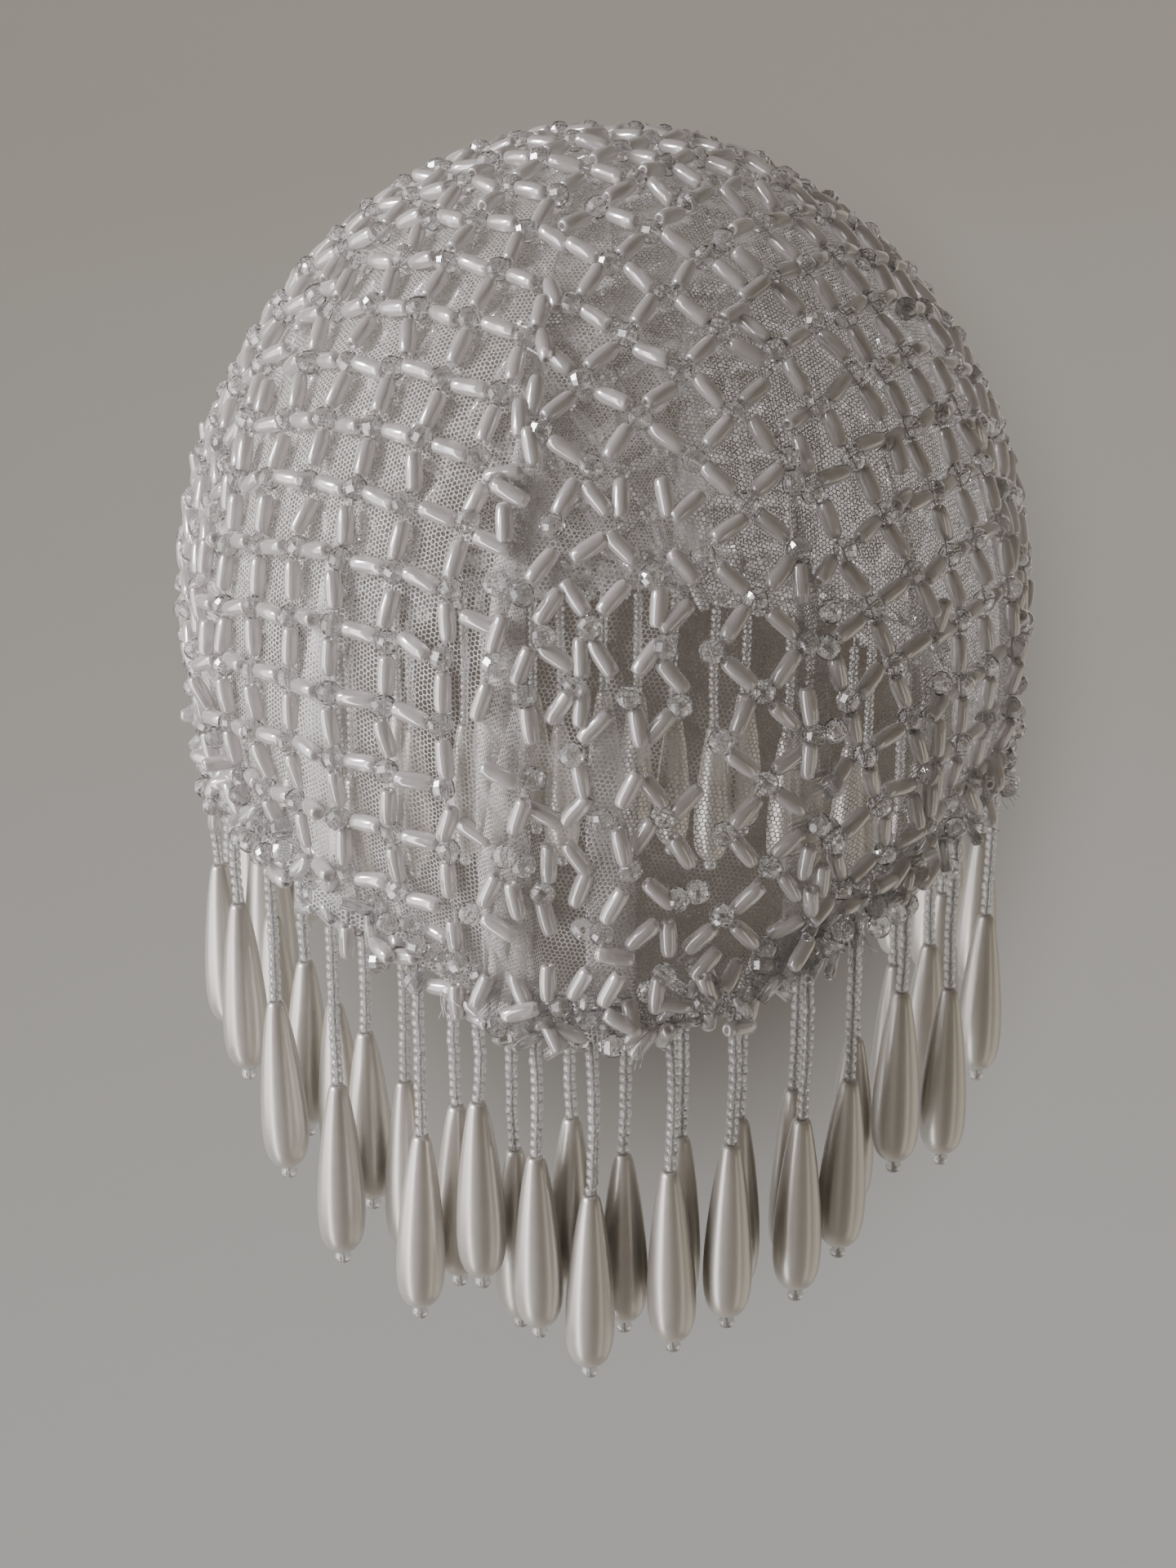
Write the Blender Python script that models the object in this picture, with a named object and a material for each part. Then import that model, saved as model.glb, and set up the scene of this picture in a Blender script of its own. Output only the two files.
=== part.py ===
"""Beaded bridal hairnet cap: pleated tulle, a beaded hem and a fringe of strung teardrop pearls.

Metres, +Z up. The origin is the centre of the head opening and the front faces -Y. A turn is an
angle in degrees round the head, 0 at the front and positive towards +X.
"""

import math

import bmesh
import bpy
from mathutils import Vector

MM = 0.001
GAP = 0.3 * MM

# Tulle cap, over its outer face
CAP_HALF_WIDTH = 74 * MM
CAP_HALF_DEPTH = 91 * MM
CAP_RISE = 81.5 * MM
WIDEST_LEVEL = 30 * MM
TULLE_WALL = 1.2 * MM
SKIRT_TAPER = 0.035

# Hem level: high round the back, with a dip at the front
HEM_SIDE_LEVEL = 6.5 * MM
HEM_BACK_RISE = 2.5 * MM
HEM_FRONT_DIP = 20.5 * MM
HEM_DIP_TURN = 36
HEM_WAVE = 0.9 * MM
HEM_WAVES = 13

# Rows of the cap's mesh, and how far apart its columns may stand between two pleats
CROWN_ROWS = 8
SKIRT_ROWS = 3
COLUMN_TURN = 14

# Sewn pleats: where each is, the polar angle where it starts, its height at the hem in mm, and
# whether the bead lattice breaks there
PLEATS = (
    # turn, start, height, breaks
    (-168, 56, 2.0, True),
    (-141, 58, 2.2, True),
    (-114, 60, 2.0, True),
    (-88, 56, 2.0, True),
    (-62, 60, 1.8, True),
    (-36, 58, 2.2, False),
    (-11.5, 36, 2.6, True),
    (1, 76, 2.2, False),
    (25, 56, 2.2, True),
    (42, 58, 2.0, True),
    (64, 60, 2.0, True),
    (88, 58, 1.8, True),
    (113, 60, 2.0, True),
    (139, 56, 2.0, True),
    (165, 60, 2.2, True),
)
PLEAT_HALF_TURN = 2.6

# Bead lattice: a flat square net laid over the head, one axis at GRAIN_TURN. The solid carries
# every second crystal of it as a four-sided stud.
LATTICE_PITCH = 10.3 * MM
GRAIN_TURN = -35
LATTICE_REACH = 19
CRYSTAL = 4 * MM
CRYSTAL_HEIGHT = 3 * MM
CRYSTAL_STEP = 2
STUD_MARGIN = 3 * MM

# Hem band and the fringe's backing under it: offsets from the tulle's plan at the hem, and levels
# from the hem
BAND_OUTSIDE = 4.0 * MM
BAND_INSIDE = -5.2 * MM
BAND_TOP = 5.0 * MM
BAND_BOTTOM = -1.2 * MM
BAND_LUMP = 0.8 * MM
BACKING_OUTSIDE = 4.0 * MM
BACKING_INSIDE = -9.4 * MM
BACKING_TOP = BAND_BOTTOM - GAP
BACKING_BOTTOM = -4.0 * MM

# Strands and teardrop pearls, with each row's offset from the tulle's plan at the hem
SEED_DIAMETER = 2.1 * MM
STRAND_SIDES = 6
STRAND_ROOT = 1.5 * MM
OUTER_HANG = 1.4 * MM
INNER_HANG = -6.8 * MM
PEARL_LENGTH = 32.0 * MM
PEARL_DIAMETER = 8.2 * MM
PEARL_SIDES = 10
PEARL_PROFILE = (
    # share of the length from the top, share of the widest radius
    (0.00, 0.34),
    (0.30, 0.74),
    (0.72, 1.00),
    (0.91, 0.82),
    (1.00, 0.30),
)

# Pearls that the front shows: turn, and the level of the pearl's top in mm
OUTER_FRONT = (
    # turn, top
    (-78, -16.0),
    (-62, -13.5),
    (-51, -25.5),
    (-38, -34.0),
    (-24.5, -37.5),
    (-16.5, -29.0),
    (-9, -37.5),
    (-2, -44.0),
    (8, -40.0),
    (16, -36.5),
    (26, -35.0),
    (33.5, -31.0),
    (42.5, -19.0),
    (55, -25.5),
    (77, -25.5),
)
INNER_FRONT = (
    # turn, top
    (-78, -9.0),
    (-69, -22.0),
    (-54, -22.0),
    (-46, -26.0),
    (-39, -28.0),
    (-31.5, -34.0),
    (-22.5, -35.5),
    (-13.5, -41.5),
    (-5, -34.5),
    (2.5, -41.0),
    (11, -38.5),
    (20, -37.0),
    (29, -34.5),
    (41, -30.0),
    (51, -21.0),
    (65, -25.0),
    (79, -23.0),
)
# Pearls of the hidden back half, evenly spaced with a slow rise and fall
OUTER_BACK = 15
INNER_BACK = 12
BACK_TOP = -20 * MM
BACK_SWING = 4 * MM


def hem_level(turn):
    """Level of the hem at a turn."""
    near = (turn + 180) % 360 - 180
    dip = HEM_FRONT_DIP * math.exp(-((near / HEM_DIP_TURN) ** 2))
    back = HEM_BACK_RISE * (1 - math.cos(math.radians(near))) / 2
    wave = HEM_WAVE * math.sin(math.radians(HEM_WAVES * near + 40))
    return HEM_SIDE_LEVEL + back - dip + wave


def plan_point(turn, scale, offset, level):
    """Point on the cap's plan ellipse, scaled and then grown by an offset."""
    angle = math.radians(turn)
    x = (CAP_HALF_WIDTH * scale + offset) * math.sin(angle)
    y = -(CAP_HALF_DEPTH * scale + offset) * math.cos(angle)
    return Vector((x, y, level))


def grid_turns():
    """Turns of the mesh columns: three on each pleat and an even few between two pleats."""
    turns = []
    for k, (turn, *_) in enumerate(PLEATS):
        after = PLEATS[(k + 1) % len(PLEATS)][0]
        gap = (after - turn) % 360
        turns += [turn - PLEAT_HALF_TURN, turn, turn + PLEAT_HALF_TURN]
        spans = int(gap / COLUMN_TURN) + 1
        clear = gap - 2 * PLEAT_HALF_TURN
        turns += [turn + PLEAT_HALF_TURN + clear * n / spans for n in range(1, spans)]
    return turns


def pleat_rise(turn, polar):
    """How far the tulle stands out at a pleat, in metres."""
    for pleat_turn, start, height, _ in PLEATS:
        away = abs((turn - pleat_turn + 180) % 360 - 180)
        if away < PLEAT_HALF_TURN and polar > start:
            share = min(1, (polar - start) / (90 - start))
            return height * MM * share * (1 - away / PLEAT_HALF_TURN)
    return 0


def rim_level(turn):
    """Level of the tulle's lower edge, just above the band."""
    return hem_level(turn) + BAND_TOP + GAP


def cap_point(turn, polar, depth, wall):
    """Point of the cap: polar angle 0 to 90 above the widest level, then a share of the skirt."""
    angle = math.radians(polar)
    out = (pleat_rise(turn, polar) - wall) * math.sin(angle)
    if depth <= 0:
        level = WIDEST_LEVEL + (CAP_RISE - wall) * math.cos(angle)
        return plan_point(turn, math.sin(angle), out, level)
    level = WIDEST_LEVEL + (rim_level(turn) - WIDEST_LEVEL) * depth
    return plan_point(turn, 1 - SKIRT_TAPER * depth * depth, out, level)


def cap_skin(mesh, wall):
    """One face of the cap, from a point at the crown down to the rim, which it returns."""
    turns = grid_turns()
    count = len(turns)
    rows = [(90 * r / CROWN_ROWS, 0) for r in range(1, CROWN_ROWS + 1)]
    rows += [(90, r / SKIRT_ROWS) for r in range(1, SKIRT_ROWS + 1)]
    loops = [[mesh.verts.new(cap_point(turn, *row, wall)) for turn in turns] for row in rows]
    crown = mesh.verts.new(cap_point(0, 0, 0, wall))
    for k in range(count):
        after = (k + 1) % count
        mesh.faces.new((crown, loops[0][k], loops[0][after]))
        for above, below in zip(loops, loops[1:]):
            mesh.faces.new((above[k], below[k], below[after], above[after]))
    return loops[-1]


def lattice_places():
    """Turn, polar angle and distance below the widest level of each node that shows, with its
    grid numbers. Between two breaks the flat net keeps its lengths, and the rest is in the pleats.
    """
    breaks = [pleat[0] for pleat in PLEATS if pleat[3]]
    grid = range(-LATTICE_REACH, LATTICE_REACH + 1)
    flat = []
    for i in grid:
        for j in grid:
            reach = LATTICE_PITCH * math.hypot(i, j)
            flat.append((i, j, reach, GRAIN_TURN + math.degrees(math.atan2(j, i))))
    for k, first in enumerate(breaks):
        half = (breaks[(k + 1) % len(breaks)] - first) % 360 / 2
        middle = first + half
        angle = math.radians(middle)
        radius = math.hypot(CAP_HALF_WIDTH * math.sin(angle), CAP_HALF_DEPTH * math.cos(angle))
        around = math.hypot(CAP_HALF_WIDTH * math.cos(angle), CAP_HALF_DEPTH * math.sin(angle))
        bend = (radius + CAP_RISE) / 2
        for i, j, reach, turn in flat:
            polar = min(90, math.degrees(reach / bend))
            below = max(0, reach - bend * math.pi / 2)
            ring = around * math.sin(math.radians(polar))
            stretch = reach / ring if ring else 1
            away = ((turn - middle + 180) % 360 - 180) * stretch
            if -half <= away < half and (reach or k == 0):
                yield i, j, middle + away, polar, below


def surface_point(turn, polar, below):
    """Point of the tulle's outer face at a distance below the widest level."""
    skirt = WIDEST_LEVEL - rim_level(turn)
    return cap_point(turn, polar, below / skirt, 0)


def crystal_studs(mesh):
    """Four-sided studs at the lattice nodes that the solid carries, sunk a little in the tulle."""
    for i, j, turn, polar, below in lattice_places():
        skirt = WIDEST_LEVEL - rim_level(turn)
        if i % CRYSTAL_STEP or j % CRYSTAL_STEP or below > skirt - STUD_MARGIN:
            continue
        place = surface_point(turn, polar, below)
        outward = Vector((place.x / CAP_HALF_WIDTH**2, place.y / CAP_HALF_DEPTH**2, 0))
        if below == 0:
            outward.z = (place.z - WIDEST_LEVEL) / CAP_RISE**2
        outward.normalize()
        side = outward.cross(Vector((0, 0, 1)))
        if side.length < 0.01:
            side = Vector((1, 0, 0))
        side = side.normalized() * CRYSTAL / math.sqrt(2)
        rise = side.cross(outward)
        sunk = place - outward * TULLE_WALL * 0.6
        corners = [mesh.verts.new(sunk + corner) for corner in (side, rise, -side, -rise)]
        tip = mesh.verts.new(place + outward * CRYSTAL_HEIGHT)
        mesh.faces.new(corners)
        for k in range(4):
            mesh.faces.new((corners[k], corners[(k + 1) % 4], tip))


def add_object(name, mesh, colour, roughness, metallic=0.0):
    """Turns a bmesh into a smooth-shaded object with its own material."""
    bmesh.ops.recalc_face_normals(mesh, faces=mesh.faces)
    bmesh.ops.triangulate(mesh, faces=mesh.faces)
    data = bpy.data.meshes.new(name)
    mesh.to_mesh(data)
    mesh.free()
    data.shade_smooth()
    data.set_sharp_from_angle(angle=math.radians(50))
    material = bpy.data.materials.new(name)
    material.use_nodes = True
    shader = material.node_tree.nodes["Principled BSDF"]
    shader.inputs["Base Color"].default_value = (*colour, 1)
    shader.inputs["Roughness"].default_value = roughness
    shader.inputs["Metallic"].default_value = metallic
    data.materials.append(material)
    item = bpy.data.objects.new(name, data)
    bpy.context.scene.collection.objects.link(item)
    return item


def net_cap():
    """Hollow tulle cap with its pleats and a lattice of crystal studs."""
    mesh = bmesh.new()
    outer_rim = cap_skin(mesh, 0)
    inner_rim = cap_skin(mesh, TULLE_WALL)
    count = len(outer_rim)
    for k in range(count):
        after = (k + 1) % count
        mesh.faces.new((outer_rim[k], outer_rim[after], inner_rim[after], inner_rim[k]))
    cap = add_object("net_cap", mesh, (0.86, 0.86, 0.84), 0.7)
    union_with(cap, "crystal_studs", crystal_studs)


def close_ring(mesh, sections):
    """Closes a ring of sections, each a closed loop of points."""
    loops = [[mesh.verts.new(point) for point in section] for section in sections]
    for k, loop in enumerate(loops):
        after = loops[(k + 1) % len(loops)]
        for c in range(len(loop)):
            d = (c + 1) % len(loop)
            mesh.faces.new((loop[c], loop[d], after[d], after[c]))


def ring_section(turn, inside, outside, bottom, top, lump):
    """Six-sided section of the band or backing at a turn, with a rounded outer side."""
    hem = hem_level(turn)
    scale = 1 - SKIRT_TAPER
    middle = (bottom + top) / 2
    shift = GAP * 2
    corners = (
        (inside, bottom + shift),
        (inside + shift, bottom),
        (outside - 2 * shift + lump, bottom),
        (outside + lump, middle),
        (outside - 2 * shift, top),
        (inside, top),
    )
    return [plan_point(turn, scale, out, hem + level) for out, level in corners]


def turned(mesh, centre, profile, sides):
    """Closed turned body about a vertical axis: profile rows are level and radius, top first."""
    loops = []
    for level, radius in profile:
        loop = []
        for k in range(sides):
            angle = 2 * math.pi * k / sides
            point = (centre[0] + radius * math.cos(angle), centre[1] + radius * math.sin(angle), level)
            loop.append(mesh.verts.new(point))
        loops.append(loop)
    for upper, lower in zip(loops, loops[1:]):
        for k in range(sides):
            after = (k + 1) % sides
            mesh.faces.new((upper[k], lower[k], lower[after], upper[after]))
    mesh.faces.new(loops[0])
    mesh.faces.new(reversed(loops[-1]))


def pearl_rows(top, profile=PEARL_PROFILE):
    """Profile rows of a teardrop pearl whose top is at a level."""
    radius = PEARL_DIAMETER / 2
    return [(top - PEARL_LENGTH * share, radius * wide) for share, wide in profile]


def fringe_places(front, back_count):
    """Turn and top level of every pearl in a row: the front's, then an even back half."""
    places = [(turn, top * MM) for turn, top in front]
    first, last = front[-1][0], front[0][0] + 360
    for k in range(1, back_count + 1):
        turn = first + (last - first) * k / (back_count + 1)
        places.append((turn, BACK_TOP + BACK_SWING * math.sin(2.4 * k)))
    return places


def hang_point(turn, hang):
    """Where a strand hangs in plan."""
    point = plan_point(turn, 1 - SKIRT_TAPER, hang, 0)
    return point.x, point.y


def union_with(item, name, build):
    """Fuses a hidden mesh, made by build, to an object by a union."""
    mesh = bmesh.new()
    build(mesh)
    bmesh.ops.recalc_face_normals(mesh, faces=mesh.faces)
    data = bpy.data.meshes.new(name)
    mesh.to_mesh(data)
    mesh.free()
    tool = bpy.data.objects.new(name, data)
    bpy.context.scene.collection.objects.link(tool)
    tool.hide_render = True
    tool.display_type = "WIRE"
    fuse = item.modifiers.new("fuse", "BOOLEAN")
    fuse.operation = "UNION"
    fuse.solver = "EXACT"
    fuse.object = tool


def hem_band():
    """Beaded hem: a lumpy ring under the tulle's edge."""
    mesh = bmesh.new()
    sections = []
    for k, turn in enumerate(grid_turns()):
        lump = BAND_LUMP * (1 if k % 2 else -1)
        sections.append(ring_section(turn, BAND_INSIDE, BAND_OUTSIDE, BAND_BOTTOM, BAND_TOP, lump))
    close_ring(mesh, sections)
    add_object("hem_band", mesh, (0.8, 0.81, 0.8), 0.25)


def fringe(outer, inner):
    """Backing under the hem with both rows' strands, and the inner row's plainer pearls."""
    plainer = PEARL_PROFILE[:1] + PEARL_PROFILE[2:]
    radius = SEED_DIAMETER / 2
    sections = [
        ring_section(turn, BACKING_INSIDE, BACKING_OUTSIDE, BACKING_BOTTOM, BACKING_TOP, 0)
        for turn in grid_turns()
    ]
    mesh = bmesh.new()
    close_ring(mesh, sections)
    backing = add_object("fringe", mesh, (0.84, 0.82, 0.76), 0.3)

    def strands(mesh):
        for turn, top in outer:
            root = hem_level(turn) + BACKING_BOTTOM + STRAND_ROOT
            rows = [(root, radius), (top + GAP, radius)]
            turned(mesh, hang_point(turn, OUTER_HANG), rows, STRAND_SIDES)
        for turn, top in inner:
            root = hem_level(turn) + BACKING_BOTTOM + STRAND_ROOT
            rows = [(root, radius), *pearl_rows(top, plainer)]
            turned(mesh, hang_point(turn, INNER_HANG), rows, PEARL_SIDES)

    union_with(backing, "strands", strands)


def pearl_drops(places):
    """Teardrop pearls of the outer row, one object each, numbered from the front's left."""
    for number, (turn, top) in enumerate(places, start=1):
        mesh = bmesh.new()
        turned(mesh, hang_point(turn, OUTER_HANG), pearl_rows(top), PEARL_SIDES)
        add_object(f"pearl_drop_{number:02d}", mesh, (0.86, 0.83, 0.77), 0.22)


def main():
    for item in list(bpy.data.objects):
        bpy.data.objects.remove(item)
    outer = fringe_places(OUTER_FRONT, OUTER_BACK)
    net_cap()
    hem_band()
    fringe(outer, fringe_places(INNER_FRONT, INNER_BACK))
    pearl_drops(outer)


main()
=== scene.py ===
"""Looks of the beaded bridal hairnet cap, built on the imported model's frame.

Metres, +Z up. The front faces -Y. A turn is an angle in degrees round the head, 0 at the front
and positive towards +X.
"""

import itertools
import math
import random

import bpy
from mathutils import Matrix, Vector, noise


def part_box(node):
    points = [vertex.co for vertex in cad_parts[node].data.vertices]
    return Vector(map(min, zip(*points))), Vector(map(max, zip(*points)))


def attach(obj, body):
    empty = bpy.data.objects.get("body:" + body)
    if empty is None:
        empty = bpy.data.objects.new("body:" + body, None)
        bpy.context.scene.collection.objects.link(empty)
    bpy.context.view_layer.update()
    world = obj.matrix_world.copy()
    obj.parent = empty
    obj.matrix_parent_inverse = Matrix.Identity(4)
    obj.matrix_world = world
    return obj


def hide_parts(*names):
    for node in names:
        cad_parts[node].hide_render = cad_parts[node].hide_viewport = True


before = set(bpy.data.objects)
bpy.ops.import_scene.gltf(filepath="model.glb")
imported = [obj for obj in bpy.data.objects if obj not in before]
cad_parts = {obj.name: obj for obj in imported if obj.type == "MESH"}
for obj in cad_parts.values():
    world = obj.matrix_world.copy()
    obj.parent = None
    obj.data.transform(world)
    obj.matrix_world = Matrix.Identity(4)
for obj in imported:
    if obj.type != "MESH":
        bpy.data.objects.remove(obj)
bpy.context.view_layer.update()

MM = 0.001

# Cap, hem and fringe sizes of the solids
CAP_HALF_WIDTH = 74 * MM
CAP_HALF_DEPTH = 91 * MM
CAP_RISE = 81.5 * MM
WIDEST_LEVEL = 30 * MM
SKIRT_TAPER = 0.035
HEM_SIDE_LEVEL = 6.5 * MM
HEM_BACK_RISE = 2.5 * MM
HEM_FRONT_DIP = 20.5 * MM
HEM_DIP_TURN = 36
HEM_WAVE = 0.9 * MM
HEM_WAVES = 13
HEM_WAVE_START = 40
BAND_TOP = 5.3 * MM
OUTER_HANG = 1.4 * MM
INNER_HANG = -6.8 * MM

# Seeds of the random draws
BEAD_SEED = 11
TULLE_SEED = 7

# Sewn pleats: where each is, the polar angle where it starts, its height at the hem in mm, and
# whether the bead lattice breaks there
PLEATS = (
    # turn, start, height, breaks
    (-168, 56, 2.0, True),
    (-141, 58, 2.2, True),
    (-114, 60, 2.0, True),
    (-88, 56, 2.0, True),
    (-62, 60, 1.8, True),
    (-36, 58, 2.2, False),
    (-11.5, 36, 2.6, True),
    (1, 76, 2.2, False),
    (25, 56, 2.2, True),
    (42, 58, 2.0, True),
    (64, 60, 2.0, True),
    (88, 58, 1.8, True),
    (113, 60, 2.0, True),
    (139, 56, 2.0, True),
    (165, 60, 2.2, True),
)
PLEAT_HALF_TURN = 3.4

# Bead lattice: a flat square net laid over the head, one axis at GRAIN_TURN
LATTICE_PITCH = 10.3 * MM
GRAIN_TURN = -35
LATTICE_REACH = 19
LATTICE_SHIFT = 0.3 * MM
LATTICE_TILT = 0.13
LATTICE_RIM = 0.5 * MM
# A crystal's jump in mm and how far it tips out. A pearl's ends along its edge, its random rise
# in mm and how far its thread runs past it
CRYSTAL_JUMP = 0.35
CRYSTAL_TIP = 0.3
PEARL_ENDS = (0.2, 0.8)
PEARL_RISE = (-0.15, 0.5)
PEARL_THREAD = 2 * MM

# How far the beads' middles keep apart, and the cell size that finds their neighbours
LATTICE_CRYSTAL_GAP = 3.2 * MM
LATTICE_PEARL_GAP = 2.9 * MM
PLEAT_BEAD_GAP = 2.7 * MM
HEM_BEAD_GAP = 3.7 * MM
SPACING_CELL = 4 * MM

# Beads that crowd along a pleat: start below the pleat's own, stop above the rim, step between
# them, turn to either side, lift, share of pearls and lean
PLEAT_BEAD_START = 3
PLEAT_BEAD_STOP = 2 * MM
PLEAT_BEAD_STEP = (3.4, 5.2)
PLEAT_BEAD_SIDE = (0.4, 1.9)
PLEAT_BEAD_LIFT = 0.4 * MM
PLEAT_PEARLS = 0.68
PLEAT_BEAD_TILT = 0.22

# Beads sewn more freely over the two front pleats, in place of the lattice there. Reach is the
# polar angle, and past 90 the mm below the widest level. Lean is the angle from straight down.
PATCH_TURNS = (-18, 10.5)
PATCH_REACH = (60.5, 130)
# The beads there rise over the hem, from this reach on and over this much of it
PATCH_HEM_LIFT = 2.4 * MM
PATCH_HEM_REACH = 122
PATCH_HEM_STEP = 4
# Random lift of a front bead in mm, how far a crystal may turn, and how far crystals and pearls
# tip out
PATCH_RISE = (0, 0.5)
PATCH_CRYSTAL_TURN = (-1.5, 1.5)
PATCH_CRYSTAL_TIP = 0.35
PATCH_PEARL_TIP = 0.08

# The camera that was fitted to the photo
CAMERA_PLACE = (-0.003, -0.420, 0.154)
CAMERA_TILT = 69
FOCAL_PIXELS = 2884
PHOTO_WIDE, PHOTO_TALL = 1440, 1920

# Half sizes of the surface that the beads' middles lie on
BEAD_STANDOFF = 1.5 * MM
BEAD_WIDE = CAP_HALF_WIDTH + BEAD_STANDOFF
BEAD_DEEP = CAP_HALF_DEPTH + BEAD_STANDOFF
BEAD_TALL = CAP_RISE + BEAD_STANDOFF

# The front beads as read off two crops of the photo, enlarged three times and laid side
# by side. Each crop: its corner in the photo, and where it starts across the pair.
CROP_ZOOM = 3
UPPER = (560, 560, 0)
LOWER = (560, 910, 910)
SEEN_RICE = {
    # x and y of one end and of the other
    UPPER: (
        (45, 205, 100, 105), (165, 140, 240, 180), (145, 80, 205, 72), (178, 215, 180, 310),
        (95, 315, 175, 345), (275, 435, 350, 335), (140, 700, 180, 590), (430, 365, 540, 290),
        (565, 290, 640, 360), (370, 490, 310, 580), (405, 490, 460, 565), (620, 485, 530, 585),
        (305, 715, 420, 785), (452, 690, 458, 790), (495, 695, 570, 805), (270, 715, 225, 820),
        (115, 850, 75, 975), (415, 880, 345, 975), (462, 870, 455, 980), (550, 945, 460, 1030),
        (30, 575, 140, 615), (430, 95, 375, 190), (475, 110, 550, 195), (600, 90, 600, 215),
        (262, 945, 275, 1045), (655, 945, 670, 1035), (775, 965, 710, 1040), (740, 530, 735, 610),
        (740, 700, 660, 800), (755, 765, 825, 845), (795, 350, 865, 435), (835, 545, 765, 610),
        (750, 90, 775, 200), (880, 160, 805, 220),
    ),
    LOWER: (
        (1035, 65, 1140, 120), (1170, 205, 1125, 330), (1190, 250, 1270, 290), (1355, 80, 1375, 185),
        (1385, 215, 1310, 290), (1565, 110, 1515, 200), (1600, 125, 1665, 210), (1790, 170, 1710, 240),
        (925, 300, 1020, 355), (1620, 300, 1560, 390), (1500, 320, 1520, 410), (1700, 330, 1770, 445),
        (1245, 395, 1245, 480), (1325, 395, 1375, 460), (1065, 475, 1005, 590), (1385, 480, 1345, 580),
        (1520, 525, 1450, 640), (1110, 480, 1150, 650), (1020, 645, 1120, 705), (1225, 600, 1245, 675),
        (1640, 670, 1545, 755), (1685, 675, 1690, 790), (1445, 770, 1530, 790), (1245, 830, 1245, 930),
        (1390, 850, 1335, 940), (1500, 850, 1450, 940), (1015, 880, 985, 945), (1615, 515, 1690, 580),
    ),
}
SEEN_CRYSTALS = {
    # x and y of the middle
    UPPER: (
        (350, 260), (45, 255), (165, 105), (250, 520), (145, 465), (320, 645), (485, 625),
        (710, 440), (150, 765), (430, 845), (625, 885), (815, 920), (250, 880), (760, 690),
    ),
    LOWER: (
        (1190, 120), (1330, 40), (1440, 270), (1105, 395), (1540, 460), (1160, 440), (1225, 560),
        (1370, 690), (950, 640), (1665, 265), (1790, 540), (1720, 570), (1670, 865), (1440, 690),
    ),
}
# More of them, placed at the hem
HEM_PATCH_RICE = (
    # turn, reach, lean
    (11.7, 123, -45), (7.8, 129, 80), (-4.5, 134, 75),
    (4.3, 136, -35), (-10, 130, -70), (-15.6, 132, 60), (1.6, 131, 60),
)
HEM_PATCH_CRYSTALS = (
    # turn, reach
    (-2.4, 131), (-7.1, 131), (11.3, 129), (-12.8, 133), (0.6, 135),
)
# Pearls that stand on end
STANDING_LIFT = 4.2 * MM
STANDING_RICE = (
    # turn, reach
    (-80.5, 108),
    (-57, 104),
)

# Pearls of the inner row that the front shows: turn, and the level of the pearl's top in mm
INNER_FRONT = (
    # turn, top
    (-78, -9.0), (-69, -22.0), (-54, -22.0), (-46, -26.0), (-39, -28.0), (-31.5, -34.0),
    (-22.5, -35.5), (-13.5, -41.5), (-5, -34.5), (2.5, -41.0), (11, -38.5), (20, -37.0),
    (29, -34.5), (41, -30.0), (51, -21.0), (65, -25.0), (79, -23.0),
)
INNER_BACK = 12
BACK_TOP = -20 * MM
BACK_SWING = 4 * MM
BACK_SWING_STEP = 2.4
OUTER_COUNT = 30

# Teardrop pearl: share of the length from the top, share of the widest radius
DROP_LENGTH = 32.0 * MM
DROP_RADIUS = 4.1 * MM
DROP_SIDES = 24
DROP_PROFILE = (
    # down, wide
    (0.014, 0.12), (0.000, 0.20), (0.004, 0.30), (0.022, 0.38), (0.060, 0.45),
    (0.140, 0.56), (0.260, 0.70), (0.380, 0.81), (0.500, 0.905), (0.600, 0.965),
    (0.690, 0.995), (0.760, 1.00), (0.820, 0.98), (0.870, 0.94), (0.910, 0.87),
    (0.943, 0.77), (0.970, 0.62), (0.989, 0.44), (1.000, 0.22), (0.992, 0.11),
)

# Lower halves of the small beads, up to the middle: level and radius in mm along the hole
RICE_HALF = (
    (-2.3, 0.38), (-2.8, 0.42), (-3.05, 0.68), (-2.95, 0.98), (-2.5, 1.22), (-1.4, 1.35), (0, 1.38),
)
RICE_SIDES = 12
CRYSTAL_HALF = ((-1.85, 0.7), (-1.45, 1.42), (-0.65, 1.9))
CRYSTAL_SIDES = 12
SEED_HALF = ((-0.55, 0.36), (-0.74, 0.62), (-0.48, 0.98), (0, 1.06))
SEED_SIDES = 10
SEED_PITCH = 1.6 * MM
TUBE_HALF = ((-2.6, 0.5), (-2.7, 0.8), (-2.6, 1.0))
TUBE_SIDES = 8
END_HALF = ((-0.85, 0.4), (-1.1, 0.72), (-0.75, 1.2), (0, 1.42))
END_SIDES = 12

# Strands: start below the hem's level, sideways bow, jitter and tilt of a seed bead and its
# sizes, sway of a drop and the end bead's place below it, and how far the threads run into the
# hem, the drop and the end bead
STRAND_START = 2.6 * MM
STRAND_BOW = 0.5 * MM
SEED_JITTER = 0.05
SEED_TILT = 0.07
SEED_SIZES = (0.94, 1.04)
DROP_SWAY = 0.014
END_BELOW = 1.25 * MM
THREAD_IN_HEM = 3 * MM
THREAD_IN_DROP = 1 * MM
THREAD_IN_END = 0.9 * MM

# Hem beads: tries, heights in mm, distances out in mm, lean, and shares of pearls and of pearls
# and crystals together
HEM_TRIES = 9000
HEM_UP = (-4.0, 5.6)
HEM_OUT = (-2.8, 4.6, 2.6)
HEM_LEAN = (0.2, 0.9)
HEM_TILT = 0.45
HEM_PEARLS = 0.3
HEM_PEARLS_AND_CRYSTALS = 0.7

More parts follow.
